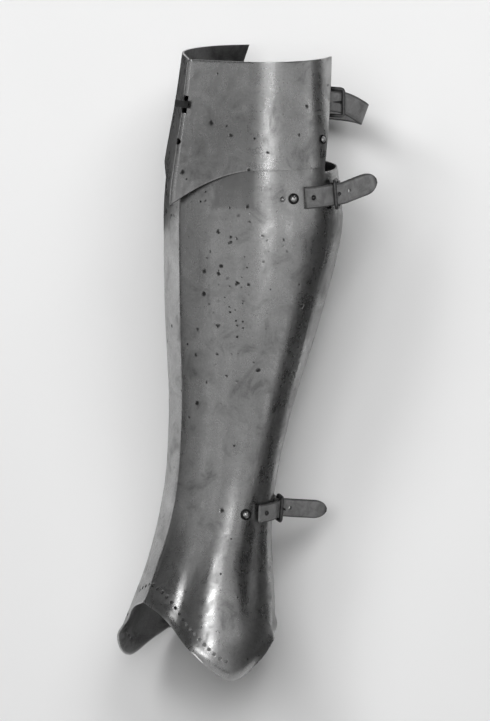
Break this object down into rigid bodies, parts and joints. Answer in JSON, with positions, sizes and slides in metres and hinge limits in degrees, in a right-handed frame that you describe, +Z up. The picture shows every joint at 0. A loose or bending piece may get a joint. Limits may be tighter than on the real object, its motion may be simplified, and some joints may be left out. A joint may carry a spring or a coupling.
{
  "type": "greave for a right leg, steel plate, with turning pin, straps and buckles",
  "caption": "Keeled steel shin and calf plates round a lower leg, flared and pierced at the foot edge, with a pointed upper plate, leather straps and iron buckles, lying on its side",
  "frame": {"origin": "middle of the part's lowest plane, on the floor it lies on", "axes": "+Y along the leg to its knee end, +Z up from the floor, the medial side with the buckles up, +X rearward"},
  "size_m": [0.158, 0.3976, 0.1164],
  "materials": {
    "steel": "old polished steel, grey, pitted and stained",
    "iron": "blackened iron, worn",
    "leather": "stiff dark leather, matt"
  },
  "bodies": {
    "shell": {"front_plate": "steel", "back_plate": "steel", "upper_plate": "steel", "hinge_upper": "steel", "hinge_lower": "steel", "calf_rivet_rear": "steel", "calf_rivet_front": "steel", "ankle_rivet": "steel", "upper_plate_rivet_medial": "steel", "upper_plate_rivet_lateral": "steel", "calf_buckle": "iron", "calf_tongue": "iron", "calf_strap_rivet": "iron", "calf_tab_rivet": "iron", "ankle_buckle": "iron", "ankle_tongue": "iron", "ankle_strap_rivet": "iron", "ankle_tab_rivet": "iron", "knee_buckle": "iron", "knee_tongue": "iron", "calf_strap": "leather", "calf_tab": "leather", "ankle_strap": "leather", "ankle_tab": "leather", "knee_strap": "leather", "knee_tab": "leather"},
    "pin": {"turning_pin": "iron"}
  },
  "joints": [
    {"name": "pin_turn", "type": "hinge", "parent": "shell", "child": "pin", "pos_m": [-0.0319, 0.1568, 0.1105], "axis": [-0.5931, 0.0261, 0.8047], "range_deg": [0, 90]}
  ]
}
